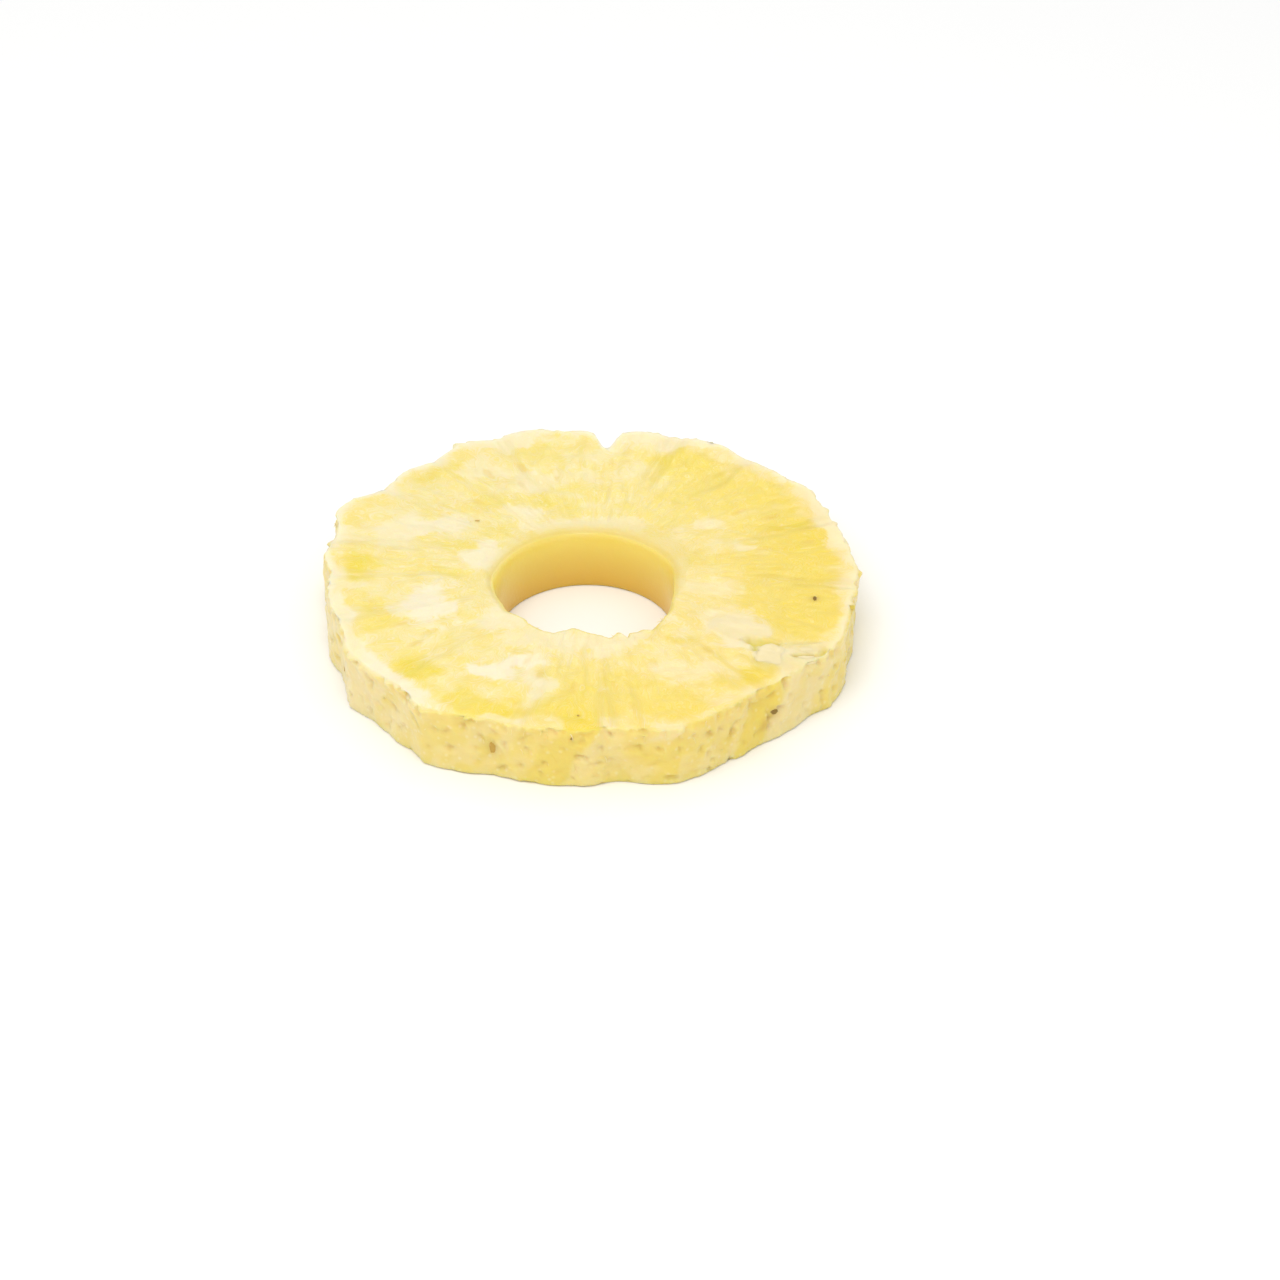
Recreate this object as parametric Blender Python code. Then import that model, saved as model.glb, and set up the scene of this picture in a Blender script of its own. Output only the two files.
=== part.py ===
"""A slice of fresh pineapple: peeled, cored and cut flat, about 92 mm across and 11.5 mm thick.

Metres, +Z up. The slice lies on its flat lower face at z = 0, with the origin under the middle of its outline.
It is one closed skin, laid as a net. Columns stand round the slice, and rows run over its top from the core
hole to the outside, down the trimmed side, back under the slice and up the wall of the hole.
"""

import math

import bmesh
import bpy
from mathutils import Vector

MM = 0.001

# The cut: a round corer, a flat knife across, and a round trim outside the eyes.
THICKNESS = 11.5 * MM
TRIM_RADIUS = 44.5 * MM
HOLE_RADIUS = 15.1 * MM
HOLE_CENTRE = Vector((-1.4 * MM, -3.2 * MM))  # the corer goes in a little off centre
EDGE_ROUND = 0.7 * MM

# Each fruitlet stands out of the trim: its direction in degrees, its height, its half width in degrees.
FRUITLETS = (
    (2, 0.6 * MM, 9),
    (36, 1.2 * MM, 7),
    (63, 1.6 * MM, 8),
    (79, 1.0 * MM, 5),
    (106, 2.6 * MM, 9),
    (121, 3.0 * MM, 5),
    (136, 1.9 * MM, 7),
    (156, 4.8 * MM, 8),
    (173, 2.3 * MM, 8),
    (192, 1.6 * MM, 9),
    (212, 2.7 * MM, 9),
    (236, 3.5 * MM, 12),
    (262, 1.6 * MM, 10),
    (288, 2.6 * MM, 10),
    (332, 1.8 * MM, 10),
)
FURROW_DEPTH = 0.35 * MM
FURROW_HALF_WIDTH = 1.6 * MM
SWELL_HEIGHT = 0.12 * MM  # the knife's own slow waves across the top
SWELL_PER_METRE = 150.0

# Torn trim: low teeth round the outside, as (teeth in a full turn, height).
TEETH = ((23, 0.16 * MM), (31, 0.14 * MM), (43, 0.12 * MM))
TEETH_TWIST = 90.0  # degrees of a tooth's wave, from the lower face to the top

# The open cleft between two fruitlets at the back, deepest at the top.
CLEFT_ANGLE = 87.5
CLEFT_DEPTH = 5.2 * MM
CLEFT_FLOOR_HALF = 0.8 * MM
CLEFT_MOUTH_HALF = 2.5 * MM
CLEFT_SHARE_BELOW = 0.55

# Eye pits in the side: direction in degrees, height above the base, depth, radius.
EYE_PITS = (
    (12, 4.0 * MM, 0.8 * MM, 1.7 * MM),
    (50, 7.5 * MM, 0.9 * MM, 1.8 * MM),
    (112, 4.5 * MM, 0.8 * MM, 1.6 * MM),
    (145, 7.0 * MM, 1.0 * MM, 1.9 * MM),
    (183, 3.5 * MM, 0.8 * MM, 1.6 * MM),
    (202, 8.0 * MM, 0.7 * MM, 1.5 * MM),
    (224, 4.2 * MM, 0.8 * MM, 1.7 * MM),
    (249, 5.2 * MM, 0.8 * MM, 1.5 * MM),
    (275, 3.6 * MM, 0.6 * MM, 1.6 * MM),
    (309, 8.2 * MM, 1.0 * MM, 1.9 * MM),
    (346, 6.0 * MM, 0.8 * MM, 1.7 * MM),
)

# Chips out of the top rim of the hole: direction in degrees, depth, half width in degrees.
RIM_CHIPS = (
    (233, 0.6 * MM, 6),
    (257, 0.3 * MM, 4),
    (281, 0.9 * MM, 6),
    (298, 1.5 * MM, 7),
    (313, 1.8 * MM, 8),
    (328, 1.0 * MM, 8),
)
CHIP_REACH_DOWN = 5.0 * MM

# The tear in the top near the front: a crevice, and the lip of flesh lifted along its front side.
TEAR_FROM = Vector((27.5 * MM, -21.0 * MM))
TEAR_TO = Vector((37.0 * MM, -22.8 * MM))
TEAR_DEPTH = 1.5 * MM
TEAR_HALF_WIDTH = 1.4 * MM
LIP_FROM = Vector((25.5 * MM, -23.2 * MM))
LIP_TO = Vector((34.5 * MM, -25.6 * MM))
LIP_HEIGHT = 0.9 * MM
LIP_HALF_WIDTH = 2.0 * MM

# The net.
EVEN_COLUMNS = 150
CLEFT_COLUMNS = 10
CLEFT_COLUMN_SPAN = 10.0  # degrees
COLUMN_ROOM = 0.5  # degrees kept between the even columns and the close ones
TOP_SPANS = 10
SIDE_SPANS = 4
UNDER_SPANS = 3
HOLE_SPANS = 3
CORNER_SPANS = 2

FLESH_COLOUR = (0.83, 0.68, 0.27, 1.0)
FLESH_ROUGHNESS = 0.38
SMOOTH_BELOW = math.radians(40)


def bell(distance, half_width):
    """1 on the spot, falling smoothly to almost nothing at twice the half width."""
    return math.exp(-((distance / half_width) ** 2))


def turn_between(angle, other):
    """The shortest turn from one direction to the other, in degrees."""
    return (angle - other + 180.0) % 360.0 - 180.0


def direction(angle):
    turn = math.radians(angle)
    return Vector((math.cos(turn), math.sin(turn)))


def distance_to_line(place, start, end):
    """How far a place on the top is from the nearest point of a straight stretch."""
    along = end - start
    share = max(0.0, min(1.0, (place - start).dot(along) / along.length_squared))
    return (place - start - along * share).length


def cleft_cut(angle, height):
    """How far the cleft cuts in from the outside at this direction and height."""
    aside = abs(math.radians(turn_between(angle, CLEFT_ANGLE))) * TRIM_RADIUS
    open_share = (CLEFT_MOUTH_HALF - aside) / (CLEFT_MOUTH_HALF - CLEFT_FLOOR_HALF)
    open_share = max(0.0, min(1.0, open_share))
    rise = height / THICKNESS
    depth_share = CLEFT_SHARE_BELOW + (1.0 - CLEFT_SHARE_BELOW) * rise
    return CLEFT_DEPTH * depth_share * open_share


def outer_radius(angle, height):
    """The trimmed outside: fruitlets and torn teeth stand out, eye pits and the cleft cut in."""
    radius = TRIM_RADIUS
    for middle, rise, half_width in FRUITLETS:
        radius += rise * bell(turn_between(angle, middle), half_width)
    for count, rise in TEETH:
        radius += rise * math.sin(math.radians(angle * count + height / THICKNESS * TEETH_TWIST))
    for middle, level, depth, size in EYE_PITS:
        aside = math.radians(turn_between(angle, middle)) * TRIM_RADIUS
        radius -= depth * bell(math.hypot(aside, height - level), size)
    return radius - cleft_cut(angle, height)


def hole_radius(angle, height):
    """The corer's round wall, with its top rim chipped along the front."""
    reach = max(0.0, 1.0 - (THICKNESS - height) / CHIP_REACH_DOWN)
    chips = sum(depth * bell(turn_between(angle, middle), wide) for middle, depth, wide in RIM_CHIPS)
    return HOLE_RADIUS + chips * reach**2


def furrow_angles():
    """The directions of the shallow furrows, each halfway between two neighbouring fruitlets."""
    middles = [middle for middle, _, _ in FRUITLETS]
    following = middles[1:] + [middles[0] + 360]
    return [(a + b) / 2.0 for a, b in zip(middles, following)]


FURROWS = furrow_angles()


def top_relief(place):
    """How far the top stands above the knife's plane at a place: slow swells, furrows and the tear."""
    angle = math.degrees(math.atan2(place.y, place.x))
    swell = math.sin(place.x * SWELL_PER_METRE) * math.cos(place.y * SWELL_PER_METRE)
    rise = SWELL_HEIGHT * swell
    nearest = min(abs(turn_between(angle, furrow)) for furrow in FURROWS)
    aside = math.radians(nearest) * place.length
    outward = max(0.0, (place.length - HOLE_RADIUS) / (TRIM_RADIUS - HOLE_RADIUS))
    rise -= FURROW_DEPTH * outward * bell(aside, FURROW_HALF_WIDTH)
    rise -= TEAR_DEPTH * bell(distance_to_line(place, TEAR_FROM, TEAR_TO), TEAR_HALF_WIDTH)
    rise += LIP_HEIGHT * bell(distance_to_line(place, LIP_FROM, LIP_TO), LIP_HALF_WIDTH)
    return rise


def corner(spans):
    """(inset from the wall, drop from the face) round a quarter turn, from the face to the wall."""
    turns = [math.pi / 2.0 * i / spans for i in range(1, spans + 1)]
    return [(EDGE_ROUND * (1 - math.sin(t)), EDGE_ROUND * (1 - math.cos(t))) for t in turns]


def rows():
    """(share of the way from hole to outside, shift outwards, height) of each row, once round the section."""
    made = []
    for i in range(TOP_SPANS + 1):
        share = i / TOP_SPANS
        made.append((share, EDGE_ROUND * (1 - 2 * share), THICKNESS))
    for inset, drop in corner(CORNER_SPANS):
        made.append((1.0, -inset, THICKNESS - drop))
    for i in range(1, SIDE_SPANS):
        made.append((1.0, 0.0, THICKNESS - EDGE_ROUND - (THICKNESS - 2 * EDGE_ROUND) * i / SIDE_SPANS))
    for inset, drop in reversed(corner(CORNER_SPANS)):
        made.append((1.0, -inset, drop))
    for i in range(UNDER_SPANS + 1):
        share = 1.0 - i / UNDER_SPANS
        made.append((share, EDGE_ROUND * (1 - 2 * share), 0.0))
    for inset, drop in corner(CORNER_SPANS):
        made.append((0.0, inset, drop))
    for i in range(1, HOLE_SPANS):
        made.append((0.0, 0.0, EDGE_ROUND + (THICKNESS - 2 * EDGE_ROUND) * i / HOLE_SPANS))
    for inset, drop in reversed(corner(CORNER_SPANS)):
        made.append((0.0, inset, THICKNESS - drop))
    return made


def columns():
    """The directions of the columns: even round the slice, with more of them across the cleft."""
    even = [360.0 * i / EVEN_COLUMNS for i in range(EVEN_COLUMNS)]
    start = CLEFT_ANGLE - CLEFT_COLUMN_SPAN / 2.0
    half = CLEFT_COLUMN_SPAN / 2.0 + COLUMN_ROOM
    close = [start + CLEFT_COLUMN_SPAN * i / CLEFT_COLUMNS for i in range(CLEFT_COLUMNS + 1)]
    kept = [angle for angle in even if abs(turn_between(angle, CLEFT_ANGLE)) > half]
    return sorted(kept + close)


def net_point(angle, share, shift, height):
    """A point of the net, on the straight line across the flesh from the hole to the outside."""
    inner = HOLE_CENTRE + direction(angle) * hole_radius(angle, height)
    outer = direction(angle) * outer_radius(angle, height)
    across = outer - inner
    place = inner + across * share + across.normalized() * shift
    upper = max(0.0, 2.0 * height / THICKNESS - 1.0)
    return Vector((place.x, place.y, height + top_relief(place) * upper))


def slice_mesh():
    """The closed skin, centred over the origin."""
    net = [[net_point(angle, *row) for row in rows()] for angle in columns()]
    flat = [point for column in net for point in column]
    middle = Vector(
        [(min(p[axis] for p in flat) + max(p[axis] for p in flat)) / 2.0 for axis in (0, 1)] + [0.0]
    )
    skin = bmesh.new()
    laid = [[skin.verts.new(point - middle) for point in column] for column in net]
    for here, beyond in zip(laid, laid[1:] + laid[:1]):
        for i in range(len(here)):
            j = (i + 1) % len(here)
            skin.faces.new((here[i], here[j], beyond[j], beyond[i]))
    bmesh.ops.recalc_face_normals(skin, faces=skin.faces)
    mesh = bpy.data.meshes.new("pineapple_ring")
    skin.to_mesh(mesh)
    skin.free()
    return mesh


def flesh_material():
    """Moist ripe flesh, warm yellow."""
    material = bpy.data.materials.new("pineapple_flesh")
    material.use_nodes = True
    shader = material.node_tree.nodes["Principled BSDF"]
    shader.inputs["Base Color"].default_value = FLESH_COLOUR
    shader.inputs["Roughness"].default_value = FLESH_ROUGHNESS
    shader.inputs["Metallic"].default_value = 0.0
    return material


def main():
    for obj in list(bpy.data.objects):
        bpy.data.objects.remove(obj)
    mesh = slice_mesh()
    mesh.materials.append(flesh_material())
    ring = bpy.data.objects.new("pineapple_ring", mesh)
    bpy.context.scene.collection.objects.link(ring)
    mesh.shade_smooth()
    mesh.set_sharp_from_angle(angle=SMOOTH_BELOW)


main()
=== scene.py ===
"""A slice of fresh pineapple, peeled and cored, lying on a pale table under soft light."""

import math
import random

import bmesh
import bpy
import numpy as np
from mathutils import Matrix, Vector, noise
from mathutils.bvhtree import BVHTree


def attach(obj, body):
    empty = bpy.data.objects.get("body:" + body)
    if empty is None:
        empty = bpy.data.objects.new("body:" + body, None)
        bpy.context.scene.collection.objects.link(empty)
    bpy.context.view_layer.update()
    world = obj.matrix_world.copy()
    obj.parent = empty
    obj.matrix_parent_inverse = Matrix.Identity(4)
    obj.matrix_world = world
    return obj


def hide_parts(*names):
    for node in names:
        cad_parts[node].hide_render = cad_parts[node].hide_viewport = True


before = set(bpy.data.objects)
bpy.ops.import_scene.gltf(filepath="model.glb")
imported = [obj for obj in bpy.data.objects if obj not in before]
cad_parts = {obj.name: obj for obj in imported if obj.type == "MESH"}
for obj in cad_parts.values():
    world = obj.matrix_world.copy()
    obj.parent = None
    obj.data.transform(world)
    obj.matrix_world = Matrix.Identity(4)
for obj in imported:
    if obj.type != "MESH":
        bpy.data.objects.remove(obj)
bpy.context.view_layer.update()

# ---------------------------------------------------------------------------------------------------------
# The slice. One piece of ripe pineapple flesh: a ring of juicy wedge-shaped fruitlets with paler, drier
# walls between them and fine threads running out from the core. It was peeled with a knife, cored with a
# round corer and cut straight across, so its faces are flat and its outside keeps the fruitlets' scallops.

MM = 0.001
FRUIT_AXIS = np.array([0.7, 0.3]) * MM  # the fruit's own middle; the corer went in a little in front of it

# How finely the skin is laid: columns round the slice, and rows round its section.
EVEN_COLUMNS = 588
CLEFT_COLUMNS = 50
CLEFT_DIRECTION = 87.0  # degrees
CLEFT_SPAN = 9.0  # degrees that get the close columns
TOP_ROWS, SIDE_ROWS, UNDER_ROWS, HOLE_ROWS = 76, 27, 24, 17
CORNER_ROWS = 3
RIM_ROUND, EDGE_ROUND = 0.30 * MM, 0.45 * MM

# Where the walls of the CAD solid are read: in a direction every quarter degree, at these heights.
DIRECTIONS = np.arange(0.0, 360.0, 0.25)
LEVELS = np.linspace(0.9, 10.6, 9) * MM
WALL_SOFTNESS = 0.7  # degrees over which the solid's facets are smoothed

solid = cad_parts["pineapple_ring"].data
solid_tree = BVHTree.FromPolygons(
    [v.co for v in solid.vertices], [list(p.vertices) for p in solid.polygons])
MID_RADIUS = 30 * MM  # about halfway from the hole to the outside
WELL_OUTSIDE = 80 * MM  # a distance that is clear of the slice all round and above


def headings(degrees):
    """The level unit vectors that point in some directions, given in degrees from the +X axis."""
    turn = np.radians(degrees)
    return np.stack([np.cos(turn), np.sin(turn)], axis=-1)


def wall_table(middle, from_inside):
    """How far the solid's wall is from a middle at each level and direction, with its facets smoothed."""
    table = np.zeros((len(LEVELS), len(DIRECTIONS)))
    for i, level in enumerate(LEVELS):
        axis = Vector((*middle, level))
        for j, (x, y) in enumerate(headings(DIRECTIONS)):
            out = Vector((x, y, 0.0))
            if from_inside:
                table[i, j] = solid_tree.ray_cast(axis, out)[3]
            else:
                table[i, j] = WELL_OUTSIDE - solid_tree.ray_cast(axis + out * WELL_OUTSIDE, -out)[3]
    offsets = np.arange(-12, 13)  # three degrees either side
    weights = np.exp(-0.5 * (offsets * (DIRECTIONS[1] - DIRECTIONS[0]) / WALL_SOFTNESS) ** 2)
    weights /= weights.sum()
    return sum(w * np.roll(table, k, axis=1) for k, w in zip(offsets, weights))


def wall_radius(table, degrees, height):
    """Reads a wall table at one height for many directions."""
    place = np.clip(np.interp(height, LEVELS, np.arange(len(LEVELS))), 0, len(LEVELS) - 1)
    low = int(place)
    high = min(low + 1, len(LEVELS) - 1)
    row = table[low] * (1 - (place - low)) + table[high] * (place - low)
    return np.interp(degrees % 360.0, DIRECTIONS, row, period=360.0)


# The corer's middle is the middle of the hole's lower wall, and the face is where rays from above land.
low_wall = [
    solid_tree.ray_cast(Vector((0, 0, LEVELS[0])), Vector((x, y, 0.0)))[0] for x, y in headings(DIRECTIONS)
]
hole_middle = np.array([(max(p[i] for p in low_wall) + min(p[i] for p in low_wall)) / 2 for i in (0, 1)])
faces = [
    solid_tree.ray_cast(Vector((x * MID_RADIUS, y * MID_RADIUS, WELL_OUTSIDE)), Vector((0, 0, -1)))[0].z
    for x, y in headings(DIRECTIONS)
]
face_height = float(np.median(faces))
hole_table = wall_table(hole_middle, True)
outer_table = wall_table(FRUIT_AXIS, False)

# The furrows between fruitlets run in from where the outline dips, which is where it comes nearest to the
# axis of all the directions within four degrees. The open cleft at the back isn't one of them.
dips = wall_radius(outer_table, DIRECTIONS, face_height)
nearby = np.stack([np.roll(dips, k) for k in range(-16, 17)])
furrows = DIRECTIONS[dips <= nearby.min(axis=0) + 1e-9]
furrows = furrows[np.abs(furrows - CLEFT_DIRECTION) > CLEFT_SPAN]


def turn_between(degrees, other):
    """How far directions are turned from another one, from -180 to 180 degrees."""
    return (degrees - other + 180.0) % 360.0 - 180.0


def bell(distance, half_width):
    """A soft-edged share: 1 at no distance, about a third at the half width, and nothing well beyond it."""
    return np.exp(-((distance / half_width) ** 2))


def rough(places, size, seed):
    """Smooth noise from about -1 to 1 at many places, with features of a size in metres."""
    shift = Vector((seed * 7.3, seed * 3.1, seed * 5.7))
    return np.array([noise.noise(Vector(p) / size + shift) for p in places])


def distance_to_stretch(places, start, end):
    """How far each place is from a straight stretch between two points."""
    run = end - start
    share = np.clip(((places - start) @ run) / (run @ run), 0, 1)
    return np.linalg.norm(places - (start + share[:, None] * run), axis=1)


def section_rows():
    """Each row round the section: (share of the way out, inset from the wall, height, outward, upward)."""
    quarter = [math.pi / 2 * (i + 1) / (CORNER_ROWS + 1) for i in range(CORNER_ROWS)]
    made = []
    for i in range(TOP_ROWS):
        share = i / (TOP_ROWS - 1)
        made.append((share, RIM_ROUND * (1 - share) + EDGE_ROUND * share, face_height, 0.0, 1.0))
    for t in quarter:
        made.append((1.0, EDGE_ROUND * (1 - math.sin(t)), face_height - EDGE_ROUND * (1 - math.cos(t)),
                     math.sin(t), math.cos(t)))
    for i in range(SIDE_ROWS):
        share = i / (SIDE_ROWS - 1)
        height = face_height - EDGE_ROUND - (face_height - 2 * EDGE_ROUND) * share
        made.append((1.0, 0.0, height, 1.0, 0.0))
    for t in reversed(quarter):
        made.append((1.0, EDGE_ROUND * (1 - math.sin(t)), EDGE_ROUND * (1 - math.cos(t)),
                     math.sin(t), -math.cos(t)))
    for i in range(UNDER_ROWS):
        share = 1 - i / (UNDER_ROWS - 1)
        made.append((share, RIM_ROUND * (1 - share) + EDGE_ROUND * share, 0.0, 0.0, -1.0))
    for t in quarter:
        made.append((0.0, RIM_ROUND * (1 - math.sin(t)), RIM_ROUND * (1 - math.cos(t)),
                     -math.sin(t), -math.cos(t)))
    for i in range(HOLE_ROWS):
        share = i / (HOLE_ROWS - 1)
        made.append((0.0, 0.0, RIM_ROUND + (face_height - 2 * RIM_ROUND) * share, -1.0, 0.0))
    for t in reversed(quarter):
        made.append((0.0, RIM_ROUND * (1 - math.sin(t)), face_height - RIM_ROUND * (1 - math.cos(t)),
                     -math.sin(t), math.cos(t)))
    return made


# Columns: even round the slice, closer across the open cleft at the back.
even = np.linspace(CLEFT_DIRECTION + CLEFT_SPAN / 2, CLEFT_DIRECTION + 360 - CLEFT_SPAN / 2, EVEN_COLUMNS)
close = CLEFT_SPAN * np.arange(1, CLEFT_COLUMNS + 1) / (CLEFT_COLUMNS + 1)
close += CLEFT_DIRECTION - CLEFT_SPAN / 2
columns = np.concatenate([even, close + 360.0])

# The corer left the hole's top rim ragged at the front, where the flesh gave way or bent inward, and nearly
# whole at the back. Each bite is a direction from the hole's middle and a half width, both in degrees, and
# how many millimetres the rim gave way, or bent inward where that is below zero.
BITES = (
    (174.0, 14.0, 0.3), (213.0, 6.0, 0.5), (227.0, 4.5, -0.3), (245.0, 8.0, 1.0), (251.0, 2.0, 0.4),
    (262.5, 7.0, -1.3), (284.5, 4.0, 1.3), (293.6, 1.5, 1.5), (306.0, 14.0, 1.1), (309.0, 3.0, 0.8),
    (328.0, 15.0, 0.8), (2.0, 14.0, -0.5),
)
BITE_DEEP = 1.7 * MM  # how far down the wall a bite fades out
bitten = sum(depth * bell(turn_between(columns, middle), half) for middle, half, depth in BITES) * MM

rows = section_rows()
heading = headings(columns)
base = np.zeros((len(columns), len(rows), 3))
facing = np.zeros((len(columns), len(rows), 2))  # how far each point faces outward, and upward
for r, (share, inset, height, outward, upward) in enumerate(rows):
    rim_now = wall_radius(hole_table, columns, height) + bitten * bell(face_height - height, BITE_DEEP)
    inner = hole_middle + heading * rim_now[:, None]
    outer = FRUIT_AXIS + heading * wall_radius(outer_table, columns, height)[:, None]
    across = outer - inner
    along = across / np.linalg.norm(across, axis=1)[:, None]
    if share == 0.0 or share == 1.0:
        place = (inner + along * inset) if share == 0.0 else (outer - along * inset)
    else:
        start = inner + along * RIM_ROUND
        place = start + (outer - along * EDGE_ROUND - start) * share
    base[:, r, :2] = place
    base[:, r, 2] = height
    facing[:, r] = (outward, upward)

points = base.reshape(-1, 3)
outward, upward = facing.reshape(-1, 2).T
out_from_axis = points[:, :2] - FRUIT_AXIS
radius = np.hypot(out_from_axis[:, 0], out_from_axis[:, 1])
direction = np.degrees(np.arctan2(out_from_axis[:, 1], out_from_axis[:, 0])) % 360.0
spoke = out_from_axis / radius[:, None]
down = face_height - points[:, 2]

on_top = np.clip(upward, 0, 1)
on_side = np.clip(outward, 0, 1)
on_hole = np.clip(-outward, 0, 1)

# Eyes whose roots were cut through leave small brown pits. Each is a direction from the fruit's axis in
# degrees, then in millimetres its distance out (0 on the outer wall), its depth below the face, its half
# width and half height, and how dark it has dried, from 0 to 1.
EYES = (
    (347.2, 38.4, 0.0, 0.32, 0.58, 0.9), (312.2, 0.0, 6.0, 1.05, 0.72, 0.8),
    (249.0, 0.0, 6.3, 0.62, 1.35, 0.2), (266.0, 0.0, 1.6, 0.26, 0.28, 0.6),
    (267.0, 41.9, 0.0, 0.20, 0.24, 0.3), (171.0, 0.0, 0.6, 0.45, 0.55, 0.7),
    (143.5, 25.7, 0.0, 0.42, 0.12, 0.3), (36.0, 0.0, 5.0, 0.55, 0.90, 0.5),
    (118.0, 0.0, 7.2, 0.40, 0.70, 0.8), (203.0, 0.0, 8.0, 0.35, 0.60, 0.4),
    (322.9, 41.9, 0.0, 0.42, 0.30, 0.3), (325.4, 43.6, 0.0, 0.50, 0.16, 0.1),
)
eye_places = []
for heading_degrees, reach_out, depth, _, _, _ in EYES:
    level = face_height - depth * MM
    out = reach_out * MM or wall_radius(outer_table, heading_degrees, level)
    eye_places.append(np.array([*(FRUIT_AXIS + headings(heading_degrees) * out), level]))

# The outside was trimmed by knife and torn a little by it: soft lumps, thread ends left as small pits, and
# crumbs of flesh that stand out or broke away along the top edge.
lumps = (
    0.42 * rough(points, 6.5 * MM, 1)
    + 0.26 * rough(points, 2.3 * MM, 2)
    + 0.15 * rough(points, 1.0 * MM, 3)
)
pits = np.clip(rough(points, 1.5 * MM, 12) - 0.25, 0, 1) * 1.5
crumbs = np.clip(np.abs(rough(points, 2.1 * MM, 4)) - 0.20, 0, 1) * bell(down, 1.5 * MM)
crumb_way = np.where(rough(points, 7.0 * MM, 13) > -0.05, 2.0, -2.0)
side_relief = (lumps - pits + crumb_way * crumbs) * on_side * MM

# Each eye sits in a pit of its own, and the flesh round it is bruised, most of all round a dark one.
EYE_PIT = 0.30 * MM
bruised = np.zeros(len(points))
for place, (_, _, _, half_width, half_height, dark) in zip(eye_places, EYES):
    apart = np.linalg.norm(points - place, axis=1)
    side_relief -= EYE_PIT * bell(apart, 1.1 * max(half_width, half_height) * MM) * on_side
    bruise = (0.2 + 0.9 * dark) * bell(apart, (0.2 + max(half_width, half_height)) * MM)
    bruised = np.maximum(bruised, bruise)

# Juice has run down from the large dark eye at the front and dried: a stain that leans aside.
STAINED_EYE = 1  # its place in EYES
STAIN_FOOT_DIRECTION, STAIN_FOOT_LEVEL = 309.3, 3.6 * MM
stain_top = eye_places[STAINED_EYE]
stain_reach = wall_radius(outer_table, STAIN_FOOT_DIRECTION, STAIN_FOOT_LEVEL)
stain_foot = np.array([*(FRUIT_AXIS + headings(STAIN_FOOT_DIRECTION) * stain_reach), STAIN_FOOT_LEVEL])
stain_wander = 0.5 * rough(points, 1.4 * MM, 17) * MM
stained = bell(distance_to_stretch(points, stain_top, stain_foot) + stain_wander, 0.95 * MM) * on_side
bruised = np.maximum(bruised, stained)

# The corer's wall is smooth. Its front top rim is frayed, and at the back the rim is worn round.
FRONT = 275.0  # degrees, the middle of the frayed stretch
at_front = bell(turn_between(direction, FRONT), 55)
fraying = np.abs(rough(points, 1.3 * MM, 5)) + np.clip(np.abs(rough(points, 0.8 * MM, 15)) - 0.25, 0, 1)
fraying *= bell(down, 1.2 * MM) * at_front
hole_relief = (0.06 * rough(points, 3.5 * MM, 6) - 0.55 * fraying) * on_hole * MM
from_middle = points[:, :2] - hole_middle
rim_radius = np.interp(
    np.degrees(np.arctan2(from_middle[:, 1], from_middle[:, 0])) % 360.0, columns % 360.0,
    np.linalg.norm(base[:, 0, :2] - hole_middle, axis=1), period=360.0)
past_rim = np.maximum(np.hypot(from_middle[:, 0], from_middle[:, 1]) - rim_radius, 0.0)
away = from_middle / np.linalg.norm(from_middle, axis=1)[:, None]

# Worn round, the section at the rim is a smooth bend: each point moves outward and down by the same amount,
# most of all at the corner. turned_in is the share of the way from face to wall that the surface has turned.
WORN_AT_BACK, WORN_AT_FRONT = 0.85, 0.04  # millimetres
WORN_REACH = 6 * MM
FRAYED_SHARE = 0.45  # the rim is hardly worn where at_front is more than this
to_corner = np.hypot(past_rim, down)
worn = np.clip(WORN_AT_BACK * (1 - at_front / FRAYED_SHARE), WORN_AT_FRONT, 1) * MM
bend = (np.sqrt(to_corner ** 2 + 4 * worn ** 2) - to_corner) / 2 * bell(to_corner, WORN_REACH)
turned_in = np.arctan2(bend, to_corner + bend) / (math.pi / 2)
turned_in = np.where(on_hole > 0.5, 1 - turned_in, turned_in)

# Threads run out from the axis, a millimetre or so apart, and stand a little proud of the softer flesh.
THREAD_GAP, THREAD_RUN = 1.1 * MM, 9.0 * MM
threads = np.array([
    noise.noise(Vector((x * MID_RADIUS / THREAD_GAP, y * MID_RADIUS / THREAD_GAP, r / THREAD_RUN)))
    for (x, y), r in zip(spoke, radius)
])
SPIRAL = 0.7 / MM  # degrees that the fruitlets have moved round the fruit for each metre lower down
leaning = direction + SPIRAL * down
nearest = np.abs(turn_between(leaning[:, None], furrows[None, :])).min(axis=1)
aside = np.radians(nearest) * radius
outer_half = np.clip((radius - 20 * MM) / (24 * MM), 0, 1)
face_relief = (
    0.14 * rough(points, 7.0 * MM, 7)
    + 0.05 * rough(points, 2.0 * MM, 8)
    + 0.035 * threads
    - 0.22 * outer_half * bell(aside + 1.6 * rough(points, 6.0 * MM, 14) * MM, 1.1 * MM)
) * MM

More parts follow.
